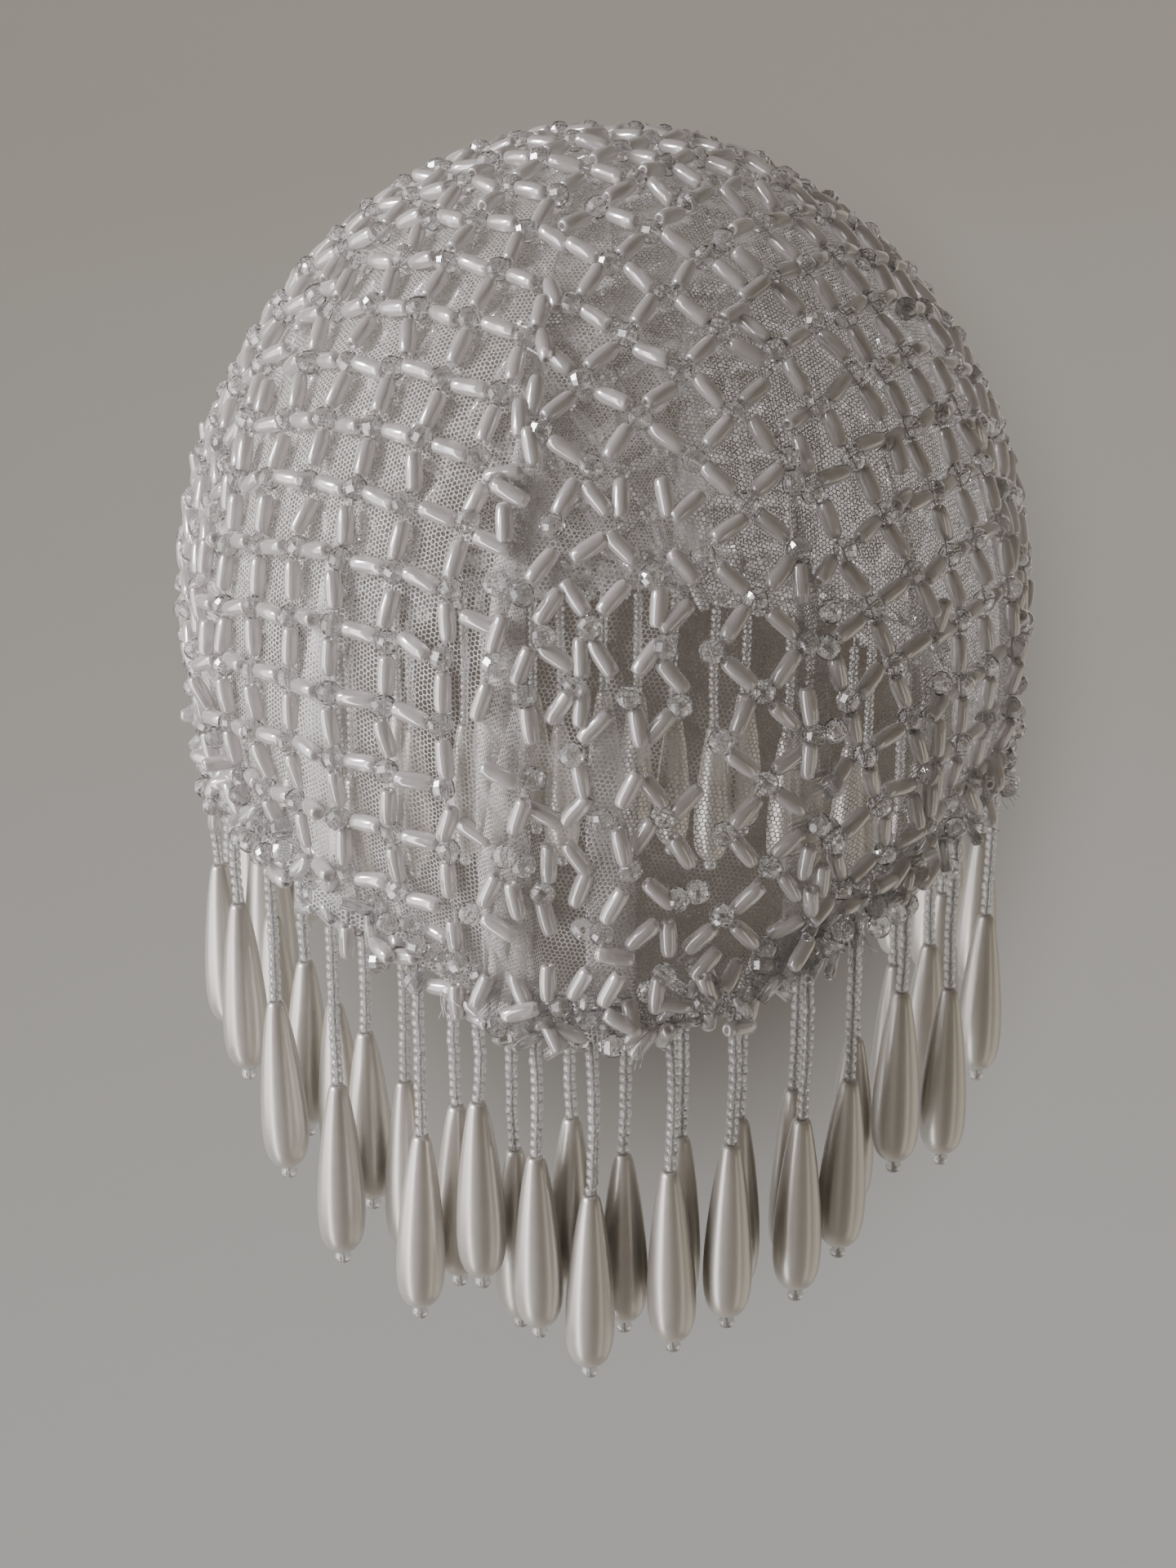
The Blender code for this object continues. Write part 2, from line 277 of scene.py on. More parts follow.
# Sewing threads: radii of those between lattice beads, through strands and cut loose
NET_SEWING = 0.13 * MM
STRAND_SEWING = 0.22 * MM
LOOSE_SEWING = 0.06 * MM
THREAD_SIDES = 5
# Turns of the tufts of cut ends, ends in a tuft and tubes in an end
TUFT_TURNS = (4, 71, -52, -100, -141, 118, 160, -20, 33, 55)
TUFT_ENDS = 7
TUFT_TUBES = 4
# Where a tuft starts, out and up in mm, how its ends spread and head, and a tube's length in mm
# and bend
TUFT_START_OUT = 3 * MM
TUFT_START_UP = (-4, 1)
TUFT_SPREAD = 0.8
TUFT_AROUND = (0.2, 0.6)
TUFT_DOWN = (0, 0.8)
TUFT_OUT = (0.1, 0.6)
TUFT_STEP = (0.9, 1.5)
TUFT_BEND = 0.2

# Lifts of the bead centres above the tulle
RICE_LIFT = 1.5 * MM
CRYSTAL_LIFT = 1.8 * MM

# Tulle
NET_PITCH = 0.8 * MM
NET_THREAD = 0.145 * MM
NET_THREAD_SPREAD = (0.4, 0.72)
NET_WARP = 1.0 * MM
NET_SHARPNESS = 40
NET_HOLE_ALPHA = 0.06
NET_THREAD_ALPHA = 0.96
NET_COLOURS = ((0.77, 0.755, 0.745), (0.88, 0.865, 0.855))
NET_PUFF = 0.8 * MM
CROWN_ROWS = 46
SKIRT_ROWS = 12
CROWN_CROWDING = 0.9
PANEL_COLUMN_TURN = 2.4
# Wrinkles: height, how fast they change round and down the cap, the share at the crown, and the
# polar angle where they start to grow
WRINKLE = 0.55 * MM
WRINKLE_PACE = (0.33, 0.03)
WRINKLE_LEAST = 0.25
WRINKLE_START = 30
PLEAT_LEAST = 0.04
# One fold of a pleat: share of its half turn, share of its height, share of its hidden cloth
FOLD = (
    # across, up, along
    (-1.0, 0.0, 0.0), (0.6, 0.22, 0.3), (0.75, 0.36, 0.34), (0.6, 0.5, 0.38), (-0.9, 0.68, 0.6),
    (-1.05, 0.85, 0.64), (-0.95, 1.0, 0.68), (-0.5, 1.0, 0.78), (0.3, 0.75, 0.9), (1.0, 0.0, 1.0),
)
# Turned hem of the tulle below the rim, in mm
HEM_TURN = (
    # down, out
    (1.6, 0.5), (3.2, 1.5), (4.8, 2.1), (6.2, 1.8), (7.2, 0.8),
    (7.6, -0.6), (6.8, -1.7), (5.0, -2.2), (2.6, -2.3),
)
HEM_CRUMPLE = 1.3 * MM
CRUMPLE_PACE = (0.42, 700)

# The span that most values of a noise lie in
NOISE_SPAN = (0.3, 0.7)

# Pearls and glass: darkest and lightest colour of the pearls, colour of the clear beads
RICE_COLOURS = ((0.83, 0.80, 0.795), (0.97, 0.945, 0.94))
DROP_COLOURS = ((0.63, 0.61, 0.57), (0.71, 0.69, 0.65))
CRYSTAL_COLOUR = (0.98, 0.97, 0.99)
SEED_COLOUR = (0.98, 0.98, 0.99)

# Soft lights: turn round the head, height, distance and size in metres, watts and colour. Those
# behind are weak and only light the cap's back.
LAMPS = (
    # name, turn, rise, distance, wide, tall, power, colour
    ("window", -78, 0.50, 0.9, 0.16, 0.34, 8.0, (1.0, 0.95, 0.965)),
    ("tall_window", -52, -0.15, 1.0, 0.18, 2.1, 6.8, (1.0, 0.955, 0.97)),
    ("curtain_left", -78, 0.10, 1.0, 0.8, 1.3, 7.7, (1.0, 0.945, 0.965)),
    ("room_left", -22, -0.15, 1.0, 0.55, 1.5, 0.5, (1.0, 0.95, 0.92)),
    ("curtain_right", 50, -0.60, 1.0, 0.25, 1.1, 0.7, (1.0, 0.93, 0.84)),
    ("wall_right", 92, -0.60, 1.0, 0.8, 1.1, 1.2, (1.0, 0.88, 0.72)),
    ("back_left", -150, 0.10, 1.1, 0.5, 1.0, 0.9, (1.0, 0.95, 0.95)),
    ("back_right", 150, 0.10, 1.1, 0.5, 1.0, 0.4, (1.0, 0.92, 0.85)),
)
WORLD_COLOUR = (0.62, 0.51, 0.34)
WORLD_STRENGTH = 0.06
# Paper of the backdrop and of the room's dimmer front, which glows as painted light and is painted
# darker and
# warmer high up as shade: own glow, colours high up and low down, the levels where each is full, and
# how unevenly they meet
BACKDROP_GLOW = 0.265
BACKDROP_COLOURS = ((0.50, 0.475, 0.42), (0.62, 0.62, 0.61))
FRONT_GLOW = 0.115
FRONT_COLOURS = ((0.50, 0.45, 0.37), (0.60, 0.57, 0.51))
PAPER_LEVELS = (0.05, -1.0)
PAPER_UNEVEN = 0.2
# Painted soft shadow on the backdrop behind the cap: middle, squash, inner and outer reach, depth
SHADE_MIDDLE = (0.07, 2.0, -0.60)
SHADE_SQUASH = (1, 0.3, 0.85)
SHADE_REACH = (0.22, 0.48)
SHADE_DEPTH = 0.9
SHADE_COLOUR = (0.11, 0.09, 0.07)
# Round pale room of the stage, and the steps of its turn and of its curve
FLOOR_LEVEL = -1.2
ROOM_RADIUS = 2.0
ROOM_CURVE = 1.0
CEILING_LEVEL = 2.4
ROOM_STEPS = 32
CURVE_STEPS = 16


def wrapped(turn):
    """The same turn, counted from -180 to 180."""
    return (turn + 180) % 360 - 180


def hem_level(turn):
    """Level of the hem at a turn."""
    near = wrapped(turn)
    dip = HEM_FRONT_DIP * math.exp(-((near / HEM_DIP_TURN) ** 2))
    back = HEM_BACK_RISE * (1 - math.cos(math.radians(near))) / 2
    wave = HEM_WAVE * math.sin(math.radians(HEM_WAVES * near + HEM_WAVE_START))
    return HEM_SIDE_LEVEL + back - dip + wave


def skirt_length(turn):
    """Length of the tulle from its widest level down to its rim."""
    return WIDEST_LEVEL - hem_level(turn) - BAND_TOP


def plan_point(turn, scale, offset, level):
    """Point on the cap's plan ellipse, scaled and then grown by an offset."""
    angle = math.radians(turn)
    x = (CAP_HALF_WIDTH * scale + offset) * math.sin(angle)
    y = -(CAP_HALF_DEPTH * scale + offset) * math.cos(angle)
    return Vector((x, y, level))


def hem_point(turn, out, up):
    """Point near the hem, by its distance out from the tulle and up from the hem's level."""
    return plan_point(turn, 1 - SKIRT_TAPER, out, hem_level(turn) + up)


def around_at(turn):
    """Unit vector along the plan ellipse at a turn, towards larger turns."""
    angle = math.radians(turn)
    x, y = CAP_HALF_WIDTH * math.cos(angle), CAP_HALF_DEPTH * math.sin(angle)
    return Vector((x, y, 0)).normalized()


def pleat_share(start, polar):
    """How much of its full size a pleat has at a polar angle."""
    return max(0, min(1, (polar - start) / (90 - start)))


def pleat_rise(turn, polar):
    """How far the tulle stands out at a pleat."""
    for pleat_turn, start, height, _ in PLEATS:
        away = abs(wrapped(turn - pleat_turn))
        if away < PLEAT_HALF_TURN and polar > start:
            return height * MM * pleat_share(start, polar) * (1 - away / PLEAT_HALF_TURN)
    return 0


def skin(turn, polar, below, lift=0):
    """Point over the cap and its outward direction there."""
    angle = math.radians(polar)
    share = below / skirt_length(turn)
    if below > 0:
        level = WIDEST_LEVEL - below
        place = plan_point(turn, 1 - SKIRT_TAPER * share * share, 0, level)
    else:
        level = WIDEST_LEVEL + CAP_RISE * math.cos(angle)
        place = plan_point(turn, math.sin(angle), 0, level)
    outward = Vector((place.x / CAP_HALF_WIDTH**2, place.y / CAP_HALF_DEPTH**2, 0))
    if below <= 0:
        outward.z = (place.z - WIDEST_LEVEL) / CAP_RISE**2
    outward.normalize()
    return place + outward * lift, outward


class Panel:
    """The flat net between two breaks, which keeps its lengths about its own middle."""

    def __init__(self, first, after):
        self.half = (after - first) % 360 / 2
        self.middle = first + self.half
        angle = math.radians(self.middle)
        across, deep = CAP_HALF_WIDTH, CAP_HALF_DEPTH
        radius = math.hypot(across * math.sin(angle), deep * math.cos(angle))
        self.around = math.hypot(across * math.cos(angle), deep * math.sin(angle))
        self.bend = (radius + CAP_RISE) / 2

    def stretch(self, reach):
        polar = min(90, math.degrees(reach / self.bend))
        ring = self.around * math.sin(math.radians(polar))
        return reach / ring if ring else 1

    def place(self, i, j):
        """Turn from the middle, polar angle and distance below the widest level of a point of
        the lattice."""
        reach = LATTICE_PITCH * math.hypot(i, j)
        turn = GRAIN_TURN + math.degrees(math.atan2(j, i))
        polar = min(90, math.degrees(reach / self.bend))
        below = max(0, reach - self.bend * math.pi / 2)
        away = wrapped(turn - self.middle) * self.stretch(reach)
        return away, polar, below

    def flat(self, away, polar, below):
        """Point of the flat net, in metres, under a place on the cap."""
        reach = self.bend * math.radians(polar) + below
        angle = math.radians(self.middle + away / self.stretch(reach) - GRAIN_TURN)
        return reach * math.cos(angle), reach * math.sin(angle)


BREAKS = [pleat[0] for pleat in PLEATS if pleat[3]]
PANELS = [Panel(turn, BREAKS[(k + 1) % len(BREAKS)]) for k, turn in enumerate(BREAKS)]


def panel_at(turn):
    """The panel that a turn lies in."""
    return min(PANELS, key=lambda p: abs(wrapped(turn - p.middle)) - p.half)


class Nodes:
    """One Principled material and short calls that build its nodes."""

    def __init__(self, name, **constants):
        self.material = bpy.data.materials.new(name)
        self.material.use_nodes = True
        self.tree = self.material.node_tree
        self.shader = self.tree.nodes["Principled BSDF"]
        self.surface(**constants)

    def add(self, kind, *inputs, **settings):
        node = self.tree.nodes.new("ShaderNode" + kind)
        for key, value in settings.items():
            setattr(node, key, value)
        for socket, value in zip(node.inputs, inputs):
            self.put(socket, value)
        return node

    def put(self, socket, value):
        if isinstance(value, bpy.types.NodeSocket):
            self.tree.links.new(value, socket)
        elif value is not None:
            socket.default_value = value

    def surface(self, **values):
        for socket, value in values.items():
            self.put(self.shader.inputs[socket.replace("_", " ")], value)

    def maths(self, operation, *values):
        return self.add("Math", *values, operation=operation).outputs[0]

    def vector(self, operation, *values):
        return self.add("VectorMath", *values, operation=operation)

    def scaled(self, vector, scale):
        node = self.vector("SCALE", vector)
        node.inputs["Scale"].default_value = scale
        return node.outputs[0]

    def noise(self, where, scale, detail=3.0, output="Fac"):
        node = self.add("TexNoise")
        self.put(node.inputs["Vector"], where)
        node.inputs["Scale"].default_value = scale
        node.inputs["Detail"].default_value = detail
        return node.outputs[output]

    def ranged(self, value, low, high, to_low, to_high):
        return self.add("MapRange", value, low, high, to_low, to_high).outputs[0]

    def mixed(self, factor, first, second):
        node = self.add("Mix", data_type="RGBA")
        self.put(node.inputs["Factor"], factor)
        for name, colour in (("A", first), ("B", second)):
            self.put(node.inputs[name], (*colour, 1) if isinstance(colour, tuple) else colour)
        return node.outputs["Result"]

    def bump(self, height, distance, strength=1.0):
        node = self.add("Bump")
        self.put(node.inputs["Height"], height)
        node.inputs["Distance"].default_value = distance
        node.inputs["Strength"].default_value = strength
        self.surface(Normal=node.outputs[0])

    def position(self):
        return self.add("TexCoord").outputs["Object"]

    def shade(self):
        """The bead's own number, from 0 to 1."""
        return self.add("Attribute", attribute_name="shade").outputs["Fac"]


def tulle_material():
    """White hexagonal net, laid out on the flat cloth, with threads of uneven width."""
    m = Nodes("tulle_net", Roughness=0.55, Sheen_Weight=0.3, Specular_IOR_Level=0.4)
    flat = m.add("UVMap", uv_map="flat").outputs[0]
    warp = m.noise(flat, scale=300, detail=2.0, output="Color")
    drift = m.vector("MULTIPLY_ADD", warp, (NET_WARP,) * 3, flat).outputs[0]
    cell = m.scaled(drift, 1 / NET_PITCH)
    half = (0.5, math.sqrt(3) / 2, 0.5)
    back = tuple(-x for x in half)
    first = m.vector("WRAP", cell, half, back).outputs[0]
    moved = m.vector("ADD", cell, (half[0], half[1], 0)).outputs[0]
    second = m.vector("WRAP", moved, half, back).outputs[0]
    sizes = [m.vector("LENGTH", v).outputs["Value"] for v in (first, second)]
    nearer = m.maths("LESS_THAN", sizes[0], sizes[1])
    pick = m.add("Mix", data_type="VECTOR")
    m.put(pick.inputs["Factor"], nearer)
    vectors = [s for s in pick.inputs if s.type == "VECTOR"]
    m.put([s for s in vectors if s.name == "A"][-1], second)
    m.put([s for s in vectors if s.name == "B"][-1], first)
    chosen = [s for s in pick.outputs if s.type == "VECTOR"][0]
    size = m.vector("ABSOLUTE", chosen).outputs[0]
    slant = m.vector("DOT_PRODUCT", size, (0.5, math.sqrt(3) / 2, 0)).outputs["Value"]
    across = m.add("SeparateXYZ", size).outputs[0]
    edge = m.maths("SUBTRACT", 0.5, m.maths("MAXIMUM", across, slant))
    uneven = m.noise(flat, scale=900, detail=1.0)
    thin, thick = (share * NET_THREAD / NET_PITCH for share in NET_THREAD_SPREAD)
    wide = m.ranged(uneven, *NOISE_SPAN, thin, thick)
    thread = m.maths("MULTIPLY", m.maths("SUBTRACT", wide, edge), NET_SHARPNESS)
    m.surface(Alpha=m.ranged(thread, -0.5, 0.5, NET_HOLE_ALPHA, NET_THREAD_ALPHA))
    cloud = m.noise(m.position(), scale=60)
    m.surface(Base_Color=m.mixed(cloud, *NET_COLOURS))
    u, v, _ = m.add("SeparateXYZ", m.scaled(flat, math.pi / LATTICE_PITCH)).outputs
    puff = m.maths("ABSOLUTE", m.maths("MULTIPLY", m.maths("SINE", u), m.maths("SINE", v)))
    m.bump(puff, NET_PUFF)
    return m.material


def pearl_material(name, dark, light, roughness, metal, coat, grain, **more):
    """Pearl lacquer: a pale coat with a faint cloud and grain, each bead a little different."""
    m = Nodes(name, Metallic=metal, Coat_Weight=coat, Coat_Roughness=0.03, **more)
    cloud = m.noise(m.position(), scale=420, detail=2.0)
    tone = m.maths("ADD", m.maths("MULTIPLY", m.shade(), 0.6), m.maths("MULTIPLY", cloud, 0.4))
    m.surface(Base_Color=m.mixed(tone, dark, light))
    m.surface(Roughness=m.ranged(cloud, *NOISE_SPAN, roughness, roughness + 0.05))
    fine = m.noise(m.position(), scale=4000, detail=2.0)
    m.bump(fine, distance=grain * MM, strength=0.25)
    return m.material


def glass_material(name, colour, clear, bend, grain):
    """Clear glass or acrylic with faint flaws in it."""
    coat = {"Coat_Weight": 1.0, "Coat_Roughness": 0.01, "Coat_IOR": 1.9}
    m = Nodes(name, Transmission_Weight=clear, IOR=bend, **coat)
    tone = m.ranged(m.shade(), 0, 1, 0.2, 1)
    m.surface(Base_Color=m.mixed(tone, colour, (1, 1, 1)))
    flaws = m.noise(m.position(), scale=grain, detail=2.0)
    m.surface(Roughness=m.ranged(flaws, 0.5, 0.8, 0, 0.03))
    m.bump(flaws, distance=0.004 * MM, strength=0.2)
    return m.material


def thread_material():
    """White nylon thread, mottled and uneven."""
    m = Nodes("nylon_thread", Roughness=0.4, Transmission_Weight=0.2, Sheen_Weight=0.2)
    twist = m.noise(m.position(), scale=3000, detail=1.0)
    m.surface(Base_Color=m.mixed(twist, (0.8, 0.8, 0.79), (0.95, 0.95, 0.95)))
    m.bump(twist, distance=0.05 * MM, strength=0.6)
    return m.material


def backdrop_material(name, glow, high_up, low_down):
    """Pale grey paper of the stage that glows with its own colour as painted light, painted darker and
    warmer high up as shade, with a painted soft shadow where it lies behind the cap.
    """
    m = Nodes(name, Roughness=0.9, Specular_IOR_Level=0.2)
    tone = m.noise(m.position(), scale=1.3, detail=4.0)
    # Painted shade: the paper is darker and warmer high up and lighter low down, meeting unevenly
    level = m.add("SeparateXYZ", m.position()).outputs["Z"]
    uneven = m.maths("ADD", level, m.maths("MULTIPLY", tone, PAPER_UNEVEN))
    low = m.ranged(uneven, *PAPER_LEVELS, 0, 1)
    # Painted soft shadow: the paper darkens towards SHADE_COLOUR round a spot behind the cap
    away = m.vector("SUBTRACT", m.position(), SHADE_MIDDLE).outputs[0]
    away = m.vector("MULTIPLY", away, SHADE_SQUASH).outputs[0]
    reach = m.vector("LENGTH", away).outputs["Value"]
    shade = m.ranged(reach, *SHADE_REACH, SHADE_DEPTH, 0)
    shade.node.interpolation_type = "SMOOTHSTEP"
    paper = m.mixed(shade, m.mixed(low, high_up, low_down), SHADE_COLOUR)
    m.surface(Base_Color=paper)
    # Painted light: the paper glows with its own colour, its painted shade and shadow included
    m.surface(Emission_Color=paper)
    m.surface(Emission_Strength=glow)
    return m.material


def turned_shape(profile, sides, scale=MM):
    """Points and faces of a bead turned about Z. Its hole shows as a dent at each end."""
    points, faces = [], []
    for level, radius in profile:
        for k in range(sides):
            angle = 2 * math.pi * k / sides
            x, y = radius * scale * math.cos(angle), radius * scale * math.sin(angle)
            points.append((x, y, level * scale))
    for row in range(len(profile) - 1):
        for k in range(sides):
            a, b = row * sides + k, row * sides + (k + 1) % sides
            faces.append((a, b, b + sides, a + sides))
    last = (len(profile) - 1) * sides
    faces.append(tuple(reversed(range(sides))))
    faces.append(tuple(last + k for k in range(sides)))
    return points, faces


def bead_shape(half, sides):
    """Points and faces of a small bead from the lower half of its profile."""
    upper = [(-level, radius) for level, radius in reversed(half) if level]
    return turned_shape([*half, *upper], sides)


def hollow_shape(half, sides):
    """Points and faces of a glass bead whose hole goes right through."""
    points, faces = bead_shape(half, sides)
    last = len(points) - sides
    for k in range(sides):
        after = (k + 1) % sides
        faces.append((last + k, last + after, after, k))
    return points, [face for face in faces if len(face) == 4]


def linked(name, data):
    """New object of the scene with a mesh, light or camera."""
    item = bpy.data.objects.new(name, data)
    bpy.context.scene.collection.objects.link(item)
    return item


def meshed(name, points, faces, material):
    """New object of the scene with a smooth mesh of one material."""
    mesh = bpy.data.meshes.new(name)
    mesh.from_pydata(points, [], faces)
    mesh.shade_smooth()
    mesh.materials.append(material)
    return linked(name, mesh)


def joined(name, shape, matrices, material, smooth=True):
    """One piece made of many placed copies of a shape, each with a shade number of its own."""
    points, faces, shades = [], [], []
    tone = random.Random(len(name))
    corners = [Vector(p) for p in shape[0]]
    for matrix in matrices:
        start = len(points)
        points += [matrix @ corner for corner in corners]
        faces += [tuple(start + k for k in face) for face in shape[1]]
        shades += [tone.random()] * len(corners)
    item = meshed(name, points, faces, material)
    item.data.attributes.new("shade", "FLOAT", "POINT").data.foreach_set("value", shades)
    if not smooth:
        item.data.shade_flat()
    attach(item, "root")
    return item


def along(place, direction, spin=0.0, size=1.0):
    """Matrix that puts a bead's hole along a direction."""
    turn = direction.to_track_quat("Z", "Y").to_matrix().to_4x4()
    return Matrix.Translation(place) @ turn @ Matrix.Rotation(spin, 4, "Z") @ Matrix.Scale(size, 4)


def tube_between(a, b, radius):
    """Matrix that lays a unit tube from one point to another."""
    direction = b - a
    turn = direction.to_track_quat("Z", "Y").to_matrix().to_4x4()
    grow = Matrix.Diagonal((radius, radius, direction.length, 1))
    return Matrix.Translation((a + b) / 2) @ turn @ grow


def scatter(draw, *spread):
    """Vector of three random draws."""
    return Vector([draw(*spread) for _ in range(3)])


def aside(chance, spread, up):
    """Vector with a given part along Z and two random draws across it."""
    return Vector((chance.gauss(0, spread), chance.gauss(0, spread), up))


class Spacing:
    """Keeps beads from sharing a place."""

    def __init__(self, cell):
        self.cell, self.taken = cell, {}

    def take(self, place, apart):
        """Take a place for a bead, unless another bead is nearer than the distance apart."""
        key = tuple(math.floor(c / self.cell) for c in place)
        cells = itertools.product(*((k - 1, k, k + 1) for k in key))
        near = [other for cell in cells for other in self.taken.get(cell, ())]
        if any((place - other).length < apart for other in near):
            return False
        self.taken.setdefault(key, []).append(place)
        return True


def tulle_cap():
    """The net cap with its folded pleats and turned hem."""
    noise.seed_set(TULLE_SEED)
    columns = []
    for k, (turn, start, height, _) in enumerate(PLEATS):
        after = PLEATS[(k + 1) % len(PLEATS)][0]
        before_panel, after_panel = panel_at(turn - 1), panel_at(turn + 1)
        for across, up, share in FOLD:
            columns.append((turn, start, height, across, up, before_panel, after_panel, share))
        clear = (after - turn) % 360 - 2 * PLEAT_HALF_TURN
        count = round(clear / PANEL_COLUMN_TURN)
        for n in range(1, count):
            place = turn + PLEAT_HALF_TURN + clear * n / count
            columns.append((place, 0, 0, 0, 0, after_panel, after_panel, 0))
    rows = [(90 * (r / CROWN_ROWS) ** CROWN_CROWDING, 0, 0, 0) for r in range(1, CROWN_ROWS + 1)]
    rows += [(90, r / SKIRT_ROWS, 0, 0) for r in range(1, SKIRT_ROWS + 1)]
    rows += [(90, 1, down * MM, out * MM) for down, out in HEM_TURN]
    points, flats = [], []
    for polar, depth, down, out in rows:
        for turn, start, height, across, up, before_panel, after_panel, share in columns:
            grown = max(PLEAT_LEAST, pleat_share(start, polar)) if height else 1
            here = turn + across * PLEAT_HALF_TURN * grown
            below = depth * skirt_length(here)
            lift = height * MM * up * grown
            swell = WRINKLE_LEAST + pleat_share(WRINKLE_START, polar)
            around, down_cap = turn * WRINKLE_PACE[0], polar * WRINKLE_PACE[1] + depth
            lift += noise.noise(Vector((around, down_cap, 7))) * WRINKLE * swell
            place, outward = skin(here, polar, below, lift)
            if down:
                place.z -= down
                place += outward * out
                spot = Vector((turn * CRUMPLE_PACE[0], down * CRUMPLE_PACE[1], 3))
                crumple = noise.noise_vector(spot)
                place += crumple * HEM_CRUMPLE
            points.append(place)
            ends = []
            for panel in (before_panel, after_panel):
                away = wrapped(here - panel.middle)
                ends.append(Vector(panel.flat(away, polar, below + down + abs(out))))
            flats.append(ends[0].lerp(ends[1], share))
    width = len(columns)
    crown = len(points)
    points.append(skin(0, 0, 0)[0])
    flats.append(Vector((0, 0)))
    faces = [(crown, k, (k + 1) % width) for k in range(width)]
    for r in range(len(rows) - 1):
        for k in range(width):
            a, b = r * width + k, r * width + (k + 1) % width
            faces.append((a, a + width, b + width, b))
    item = meshed("tulle_cap", points, faces, tulle_material())
    layer = item.data.uv_layers.new(name="flat")
    spots = [c for loop in item.data.loops for c in flats[loop.vertex_index]]
    layer.uv.foreach_set("vector", spots)
    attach(item, "root")
    return item


def in_patch(turn, reach):
    """Whether a place is among the freely sewn front beads."""
    return PATCH_TURNS[0] < turn < PATCH_TURNS[1] and PATCH_REACH[0] < reach < PATCH_REACH[1]


def seen_at(crop, x, y):
    """Turn, reach and place where a point of a crop of the photo meets the beads' surface."""
    corner_x, corner_y, start_x = crop
    across = (corner_x + (x - start_x) / CROP_ZOOM - PHOTO_WIDE / 2) / FOCAL_PIXELS
    down = (corner_y + y / CROP_ZOOM - PHOTO_TALL / 2) / FOCAL_PIXELS
    tilt = math.radians(90 - CAMERA_TILT)
    line = (
        across,
        math.cos(tilt) - down * math.sin(tilt),
        -math.sin(tilt) - down * math.cos(tilt),
    )
    eye = (CAMERA_PLACE[0], CAMERA_PLACE[1], CAMERA_PLACE[2] - WIDEST_LEVEL)
    # The dome first, and the upright skirt where the line of sight passes under the dome
    for tall in (BEAD_TALL, math.inf):
        axes = (BEAD_WIDE, BEAD_DEEP, tall)
        start = [e / s for e, s in zip(eye, axes)]
        step = [v / s for v, s in zip(line, axes)]
        a = sum(v * v for v in step)
        b = 2 * sum(e * v for e, v in zip(start, step))
        c = sum(e * e for e in start) - 1
        if b * b < 4 * a * c:
            continue
        far = (-b - math.sqrt(b * b - 4 * a * c)) / (2 * a)
        place = Vector([e + far * v for e, v in zip(eye, line)])
        turn = math.degrees(math.atan2(place.x / BEAD_WIDE, -place.y / BEAD_DEEP))
        if tall == math.inf:
            return turn, 90 - place.z / MM, place
        if place.z >= 0:
            return turn, math.degrees(math.acos(place.z / tall)), place


def seen_pearl(crop, x, y, far_x, far_y):
    """Turn, reach and lean of a pearl from its two ends in a crop of the photo."""
    turn, reach, _ = seen_at(crop, (x + far_x) / 2, (y + far_y) / 2)
    line = seen_at(crop, far_x, far_y)[2] - seen_at(crop, x, y)[2]
    angle, polar = math.radians(turn), math.radians(min(90, reach))
    ring = Vector((BEAD_WIDE * math.cos(angle), BEAD_DEEP * math.sin(angle), 0)).normalized()
    slope_x = BEAD_WIDE * math.cos(polar) * math.sin(angle)
    slope_y = -BEAD_DEEP * math.cos(polar) * math.cos(angle)
    slope = Vector((slope_x, slope_y, -BEAD_TALL * math.sin(polar))).normalized()
    lean = math.degrees(math.atan2(line.dot(ring), line.dot(slope)))
    return turn, reach, (lean + 90) % 180 - 90


def front_beads():
    """Turn, reach and lean of the front beads, from the top down, rounded to what the eye can
    read. A crystal has no lean."""
    pearls = [seen_pearl(crop, *row) for crop, rows in SEEN_RICE.items() for row in rows]
    crystals = [seen_at(crop, *row)[:2] for crop, rows in SEEN_CRYSTALS.items() for row in rows]
    for beads in (pearls, crystals):
        beads.sort(key=lambda bead: bead[1])
    pearls = [(round(turn, 1), round(reach), round(lean)) for turn, reach, lean in pearls]
    crystals = [(round(turn, 1), round(reach)) for turn, reach in crystals]
    beads = [*pearls, *HEM_PATCH_RICE]
    return beads + [(*row, None) for row in (*crystals, *HEM_PATCH_CRYSTALS)]


def front_patch(chance, spacing):
    """Matrices of the pearls and crystals over the two front pleats, and of the pearls that
    stand on end."""
    rice, crystals = [], []
    for turn, reach, lean in front_beads():
        polar, below = min(90, reach), max(0, reach - 90) * MM
        lift = CRYSTAL_LIFT if lean is None else RICE_LIFT
        lift += pleat_rise(turn, polar) + chance.uniform(*PATCH_RISE) * MM
        lift += max(0, min(1, (reach - PATCH_HEM_REACH) / PATCH_HEM_STEP)) * PATCH_HEM_LIFT
        place, outward = skin(turn, polar, below, lift)
        spacing.take(place, 0)
        ring = around_at(turn)
        angle = chance.uniform(*PATCH_CRYSTAL_TURN) if lean is None else math.radians(lean)
        line = ring.cross(outward) * math.cos(angle) + ring * math.sin(angle)
        line += outward * chance.gauss(0, PATCH_CRYSTAL_TIP if lean is None else PATCH_PEARL_TIP)
        kind = crystals if lean is None else rice
        kind.append(along(place, line, chance.uniform(0, 6)))
    for turn, reach in STANDING_RICE:
        polar, below = min(90, reach), max(0, reach - 90) * MM
        place, outward = skin(turn, polar, below, STANDING_LIFT)
        rice.append(along(place, outward))
    return rice, crystals


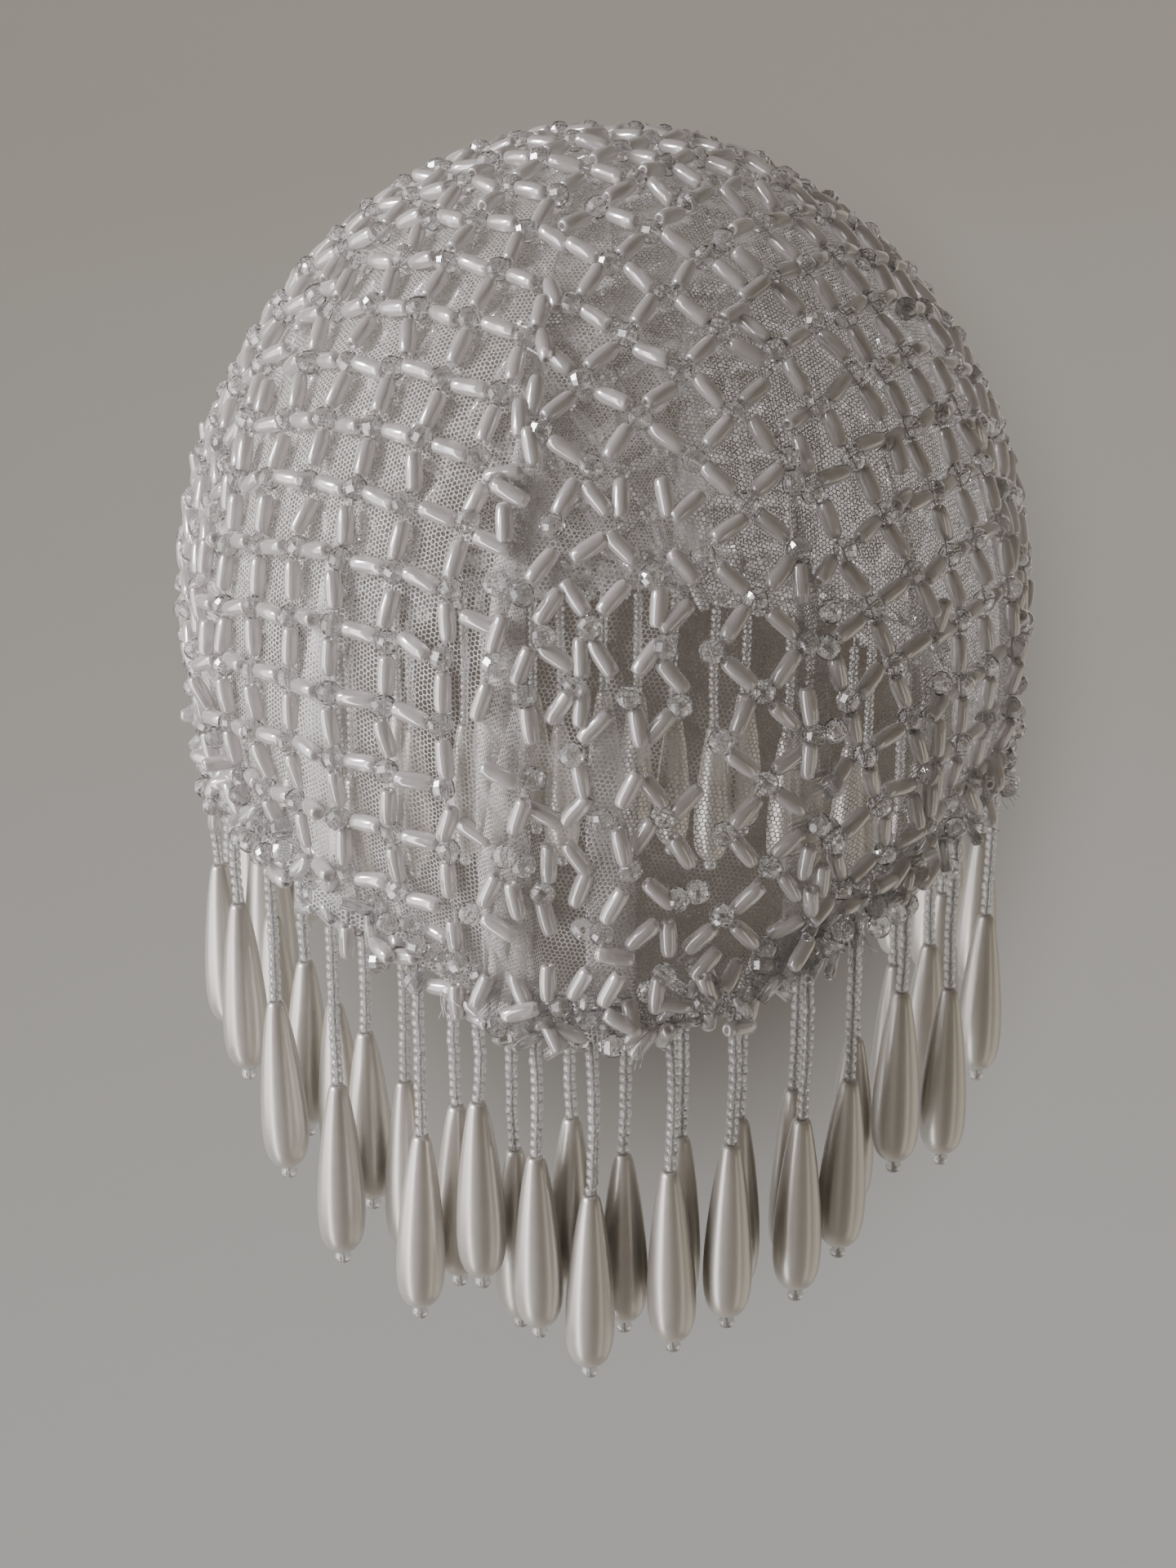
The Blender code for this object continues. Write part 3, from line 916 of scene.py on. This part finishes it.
def lattice(chance, spacing):
    """Places of the lattice: matrices of pearls along and across the net's grain and of
    crystals, and the threads between them."""
    along_net, across_net, crystals, threads = [], [], [], []
    grid = range(-LATTICE_REACH, LATTICE_REACH + 1)
    for number, panel in enumerate(PANELS):

        def on_cap(i, j, lift, panel=panel):
            away, polar, below = panel.place(i, j)
            turn = panel.middle + away
            shows = -panel.half <= away < panel.half
            shows = shows and below < skirt_length(turn) - LATTICE_RIM
            shows = shows and not in_patch(turn, polar + below / MM)
            rise = pleat_rise(turn, polar)
            return (*skin(turn, polar, below, lift + rise), shows)

        for i in grid:
            for j in grid:
                place, outward, shows = on_cap(i, j, CRYSTAL_LIFT)
                if shows and (i or j or number == 0) and spacing.take(place, LATTICE_CRYSTAL_GAP):
                    jump = scatter(chance.uniform, -CRYSTAL_JUMP, CRYSTAL_JUMP) * MM
                    side = outward.orthogonal()
                    side.rotate(Matrix.Rotation(chance.uniform(0, 3), 3, outward))
                    tilt = side + outward * chance.gauss(0, CRYSTAL_TIP)
                    crystals.append(along(place + jump, tilt, chance.uniform(0, 1)))
                for di, dj, row in ((1, 0, along_net), (0, 1, across_net)):
                    place, outward, shows = on_cap(i + di / 2, j + dj / 2, RICE_LIFT)
                    if not shows or not spacing.take(place, LATTICE_PEARL_GAP):
                        continue
                    ends = [on_cap(i + di * s, j + dj * s, RICE_LIFT)[0] for s in PEARL_ENDS]
                    line = (ends[1] - ends[0]).normalized()
                    threads.append((ends[0] - line * PEARL_THREAD, ends[1] + line * PEARL_THREAD))
                    tilt = scatter(chance.gauss, 0, LATTICE_TILT)
                    place += outward * chance.uniform(*PEARL_RISE) * MM
                    place += line.cross(outward) * chance.gauss(0, 1) * LATTICE_SHIFT
                    place += line * chance.gauss(0, 1) * LATTICE_SHIFT
                    row.append(along(place, line + tilt, chance.uniform(0, 6)))
    return along_net, across_net, crystals, threads


def pleat_beads(chance, spacing):
    """Beads that crowd along the pleats where the lattice breaks."""
    rice, crystals = [], []
    for turn, start, _, breaks in PLEATS:
        if not breaks:
            continue
        panel = panel_at(turn + 1)
        reach = panel.bend * math.radians(start + PLEAT_BEAD_START)
        side = 1
        while True:
            polar = min(90, math.degrees(reach / panel.bend))
            below = max(0, reach - panel.bend * math.pi / 2)
            under_rim = below > skirt_length(turn) - PLEAT_BEAD_STOP
            if under_rim or in_patch(turn, polar + below / MM):
                break
            here = turn + side * chance.uniform(*PLEAT_BEAD_SIDE)
            lift = RICE_LIFT + pleat_rise(here, polar) + PLEAT_BEAD_LIFT
            place = skin(here, polar, below, lift)[0]
            if below:
                line = skin(here, polar, below + 1 * MM, lift)[0] - place
            else:
                line = skin(here, polar + 1, 0, lift)[0] - place
            line.normalize()
            if spacing.take(place, PLEAT_BEAD_GAP):
                tilt = scatter(chance.gauss, 0, PLEAT_BEAD_TILT)
                if chance.random() < PLEAT_PEARLS:
                    rice.append(along(place, line + tilt, chance.uniform(0, 6)))
                else:
                    crystals.append(along(place, line + tilt * 3, chance.uniform(0, 1)))
            side = -side
            reach += chance.uniform(*PLEAT_BEAD_STEP) * MM
    return rice, crystals


def hem_beads(chance):
    """Beads crowded along the hem: pearls, crystals and clear tubes at all angles."""
    rice, crystals, tubes = [], [], []
    spacing = Spacing(SPACING_CELL)
    for _ in range(HEM_TRIES):
        turn = chance.uniform(-180, 180)
        up = chance.uniform(*HEM_UP) * MM
        out = chance.triangular(*HEM_OUT) * MM
        place = hem_point(turn, out, up)
        if not spacing.take(place, HEM_BEAD_GAP):
            continue
        ring = around_at(turn)
        lean = chance.gauss(*HEM_LEAN)
        line = ring * math.cos(lean) + Vector((0, 0, 1)) * math.sin(lean)
        line += Vector((place.x, place.y, 0)).normalized() * chance.gauss(0, HEM_TILT)
        kind = chance.random()
        spot = along(place, line, chance.uniform(0, 6))
        if kind < HEM_PEARLS:
            rice.append(spot)
        elif kind < HEM_PEARLS_AND_CRYSTALS:
            crystals.append(spot)
        else:
            tubes.append(spot)
    return rice, crystals, tubes


def fringe_places():
    """Plan place, turn and top level of every pearl: the outer row's, then the inner row's."""
    outer = []
    scale = 1 - SKIRT_TAPER
    for number in range(1, OUTER_COUNT + 1):
        low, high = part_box(f"pearl_drop_{number:02d}")
        x, y = (low.x + high.x) / 2, (low.y + high.y) / 2
        across = CAP_HALF_WIDTH * scale + OUTER_HANG
        deep = CAP_HALF_DEPTH * scale + OUTER_HANG
        outer.append((x, y, math.degrees(math.atan2(x / across, -y / deep)), high.z))
    places = [(turn, top * MM) for turn, top in INNER_FRONT]
    first, last = INNER_FRONT[-1][0], INNER_FRONT[0][0] + 360
    for k in range(1, INNER_BACK + 1):
        turn = first + (last - first) * k / (INNER_BACK + 1)
        places.append((turn, BACK_TOP + BACK_SWING * math.sin(BACK_SWING_STEP * k)))
    inner = []
    for turn, top in places:
        point = plan_point(turn, scale, INNER_HANG, top)
        inner.append((point.x, point.y, turn, top))
    return outer, inner


def strands(rows, chance):
    """Seed beads, end beads, teardrops and threads of the fringe."""
    seeds, ends, threads = [], [], []
    drops = [[], []]
    for row, places in enumerate(rows):
        for x, y, turn, top in places:
            start = hem_level(turn) - STRAND_START
            bow = Vector((chance.uniform(-1, 1), chance.uniform(-1, 1), 0)) * STRAND_BOW
            count = max(3, round((start - top) / SEED_PITCH))
            pitch = (start - top) / count
            line = []
            for k in range(count):
                share = (k + 0.5) / count
                level = top + pitch * (k + 0.5)
                place = Vector((x, y, level)) + bow * math.sin(math.pi * share)
                place += aside(chance, SEED_JITTER, 0) * MM
                tilt = aside(chance, SEED_TILT, 1)
                spin, size = chance.uniform(0, 6), chance.uniform(*SEED_SIZES)
                seeds.append(along(place, tilt, spin, size))
                line.append(place)
            sway = aside(chance, DROP_SWAY, -1).normalized()
            neck = Vector((x, y, top))
            drops[row].append(along(neck, sway, chance.uniform(0, 6)))
            tip = neck + sway * (DROP_LENGTH + END_BELOW)
            ends.append(along(tip, sway))
            line = [neck, *line, Vector((x, y, start + THREAD_IN_HEM))]
            threads += zip(line, line[1:])
            threads.append((neck + sway * (DROP_LENGTH - THREAD_IN_DROP), tip + sway * THREAD_IN_END))
    return seeds, ends, drops, threads


def tufts(chance):
    """Cut thread ends that stick out of the hem, as runs of short tubes."""
    runs = []
    for turn in TUFT_TURNS:
        base = hem_point(turn, TUFT_START_OUT, chance.uniform(*TUFT_START_UP) * MM)
        for _ in range(TUFT_ENDS):
            ring = around_at(turn)
            way = ring * chance.gauss(*TUFT_AROUND) - Vector((0, 0, 1)) * chance.uniform(*TUFT_DOWN)
            way += Vector((base.x, base.y, 0)).normalized() * chance.uniform(*TUFT_OUT)
            way.normalize()
            place = base + ring * chance.gauss(0, TUFT_SPREAD) * MM
            for _ in range(TUFT_TUBES):
                after = place + way * chance.uniform(*TUFT_STEP) * MM
                runs.append((place, after))
                way += scatter(chance.gauss, 0, TUFT_BEND)
                way.normalize()
                place = after
    return runs


def room_part(name, profile, first, after, paper):
    """Stage wall turned about the cap between two turns, from a profile of radius and level."""
    rows = len(profile)
    points = []
    for k in range(ROOM_STEPS + 1):
        angle = math.radians(first + (after - first) * k / ROOM_STEPS)
        points += [(r * math.sin(angle), -r * math.cos(angle), z) for r, z in profile]
    faces = []
    for k in range(ROOM_STEPS):
        for j in range(rows - 1):
            a, b = k * rows + j, (k + 1) * rows + j
            faces.append((a, b, b + 1, a + 1))
    part = meshed(name, points, faces, paper)
    return part


def pale_room():
    """The stage: a round room of pale paper, with its back half as the backdrop."""
    flat = ROOM_RADIUS - ROOM_CURVE
    sweep = [(1 * MM, FLOOR_LEVEL), (flat, FLOOR_LEVEL)]
    for k in range(1, CURVE_STEPS + 1):
        angle = math.radians(90 * k / CURVE_STEPS)
        across, rise = ROOM_CURVE * math.sin(angle), ROOM_CURVE * (1 - math.cos(angle))
        sweep.append((flat + across, FLOOR_LEVEL + rise))
    sweep.append((ROOM_RADIUS, CEILING_LEVEL))
    ceiling = [(ROOM_RADIUS, CEILING_LEVEL), (1 * MM, CEILING_LEVEL)]
    # Both papers glow with their own colour: painted light
    paper = backdrop_material("backdrop", BACKDROP_GLOW, *BACKDROP_COLOURS)
    warm_paper = backdrop_material("backdrop_front", FRONT_GLOW, *FRONT_COLOURS)
    room_part("backdrop", sweep, 90, 270, paper)
    # The front of the room and its ceiling show in the view and in the gloss of the beads, and
    # the soft lights are as they would be without them
    for part in (
        room_part("backdrop_front", sweep, -90, 90, warm_paper),
        room_part("backdrop_ceiling", ceiling, 0, 360, warm_paper),
    ):
        part.visible_diffuse = part.visible_transmission = part.visible_shadow = False


def soft_lights():
    """Area lamps that face the cap, and a dim warm world."""
    for name, turn, rise, distance, wide, tall, power, colour in LAMPS:
        light = bpy.data.lights.new(name, "AREA")
        light.shape = "RECTANGLE"
        light.size, light.size_y = wide, tall
        light.energy = power
        light.color = colour
        lamp = linked(name, light)
        angle = math.radians(turn)
        lamp.location = (distance * math.sin(angle), -distance * math.cos(angle), rise)
        lamp.rotation_euler = lamp.location.to_track_quat("Z", "Y").to_euler()
        lamp.visible_camera = False
    world = bpy.data.worlds.new("studio")
    world.use_nodes = True
    background = world.node_tree.nodes["Background"]
    background.inputs["Color"].default_value = (*WORLD_COLOUR, 1)
    background.inputs["Strength"].default_value = WORLD_STRENGTH
    bpy.context.scene.world = world


def photo_camera():
    """The camera at the photo's angle."""
    view = bpy.data.cameras.new("camera")
    view.sensor_fit = "VERTICAL"
    view.sensor_height = 36
    view.lens = view.sensor_height * FOCAL_PIXELS / PHOTO_TALL
    view.clip_start, view.clip_end = 0.01, 20
    camera = linked("camera", view)
    camera.location = CAMERA_PLACE
    camera.rotation_euler = (math.radians(CAMERA_TILT), 0, 0)
    bpy.context.scene.camera = camera


def sewn_lattice(chance, pearl, crystal):
    """The lattice's pearls along and across the grain and its crystals, and the threads
    between them."""
    spacing = Spacing(SPACING_CELL)
    front_rice, front_crystals = front_patch(chance, spacing)
    along_net, across_net, crystals, threads = lattice(chance, spacing)
    more_rice, more_crystals = pleat_beads(chance, spacing)
    along_net += more_rice + front_rice
    crystals += more_crystals + front_crystals
    rice = bead_shape(RICE_HALF, RICE_SIDES)
    cut = bead_shape(CRYSTAL_HALF, CRYSTAL_SIDES)
    lattice_along = joined("lattice_pearls_along", rice, along_net, pearl)
    lattice_across = joined("lattice_pearls_across", rice, across_net, pearl)
    studs = joined("lattice_crystals", cut, crystals, crystal, smooth=False)
    return lattice_along, lattice_across, studs, threads


def beaded_hem(chance, pearl, crystal, glass):
    """The hem's pearls, crystals and tubes."""
    pearls, crystals, tubes = hem_beads(chance)
    rice = bead_shape(RICE_HALF, RICE_SIDES)
    cut = bead_shape(CRYSTAL_HALF, CRYSTAL_SIDES)
    tube = hollow_shape(TUBE_HALF, TUBE_SIDES)
    hem_pearls = joined("hem_pearls", rice, pearls, pearl)
    hem_crystals = joined("hem_crystals", cut, crystals, crystal, smooth=False)
    hem_tubes = joined("hem_tubes", tube, tubes, glass)
    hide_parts("hem_band")
    return hem_pearls, hem_crystals, hem_tubes


def pearl_fringe(chance, pearl, glass):
    """The fringe's seed beads, end beads and two rows of teardrops, and its threads."""
    seeds, ends, drops, threads = strands(fringe_places(), chance)
    seed = bead_shape(SEED_HALF, SEED_SIDES)
    end = bead_shape(END_HALF, END_SIDES)
    drop_rows = [(DROP_LENGTH * down, DROP_RADIUS * wide) for down, wide in DROP_PROFILE]
    drop = turned_shape(drop_rows, DROP_SIDES, scale=1)
    seed_beads = joined("seed_strands", seed, seeds, glass)
    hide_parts("fringe")
    end_beads = joined("end_beads", end, ends, glass)
    outer_drops = joined("outer_teardrops", drop, drops[0], pearl)
    inner_drops = joined("inner_teardrops", drop, drops[1], pearl)
    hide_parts(*[f"pearl_drop_{n:02d}" for n in range(1, OUTER_COUNT + 1)])
    return seed_beads, end_beads, outer_drops, inner_drops, threads


def sewing_threads(chance, net_threads, fringe_threads, material):
    """All the threads as one piece of thin straight tubes."""
    strand = turned_shape(((-0.5, 1), (0.5, 1)), THREAD_SIDES, scale=1)
    lines = [tube_between(a, b, NET_SEWING) for a, b in net_threads]
    lines += [tube_between(a, b, STRAND_SEWING) for a, b in fringe_threads]
    lines += [tube_between(a, b, LOOSE_SEWING) for a, b in tufts(chance)]
    return joined("sewing_threads", strand, lines, material)


def main():
    """The stage, then the cap from the tulle outwards."""
    pale_room()
    soft_lights()
    photo_camera()
    milky = {"Transmission_Weight": 0.5, "IOR": 1.35, "Coat_IOR": 2.4}
    rice_pearl = pearl_material(
        "rice_pearl", *RICE_COLOURS, roughness=0.2, metal=0.1, coat=1.0, grain=0.004, **milky
    )
    drop_pearl = pearl_material(
        "drop_pearl", *DROP_COLOURS, roughness=0.32, metal=0.65, coat=0.2, grain=0.002
    )
    crystal = glass_material("crystal", CRYSTAL_COLOUR, clear=0.95, bend=1.42, grain=900)
    seed_glass = glass_material("seed_glass", SEED_COLOUR, clear=0.78, bend=1.38, grain=1400)
    thread = thread_material()

    tulle = tulle_cap()
    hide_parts("net_cap")

    chance = random.Random(BEAD_SEED)
    along_net, across_net, studs, net_threads = sewn_lattice(chance, rice_pearl, crystal)
    hem_pearls, hem_crystals, hem_tubes = beaded_hem(chance, rice_pearl, crystal, seed_glass)
    fringe = pearl_fringe(chance, drop_pearl, seed_glass)
    seed_beads, end_beads, outer_drops, inner_drops, fringe_threads = fringe
    threads = sewing_threads(chance, net_threads, fringe_threads, thread)


main()
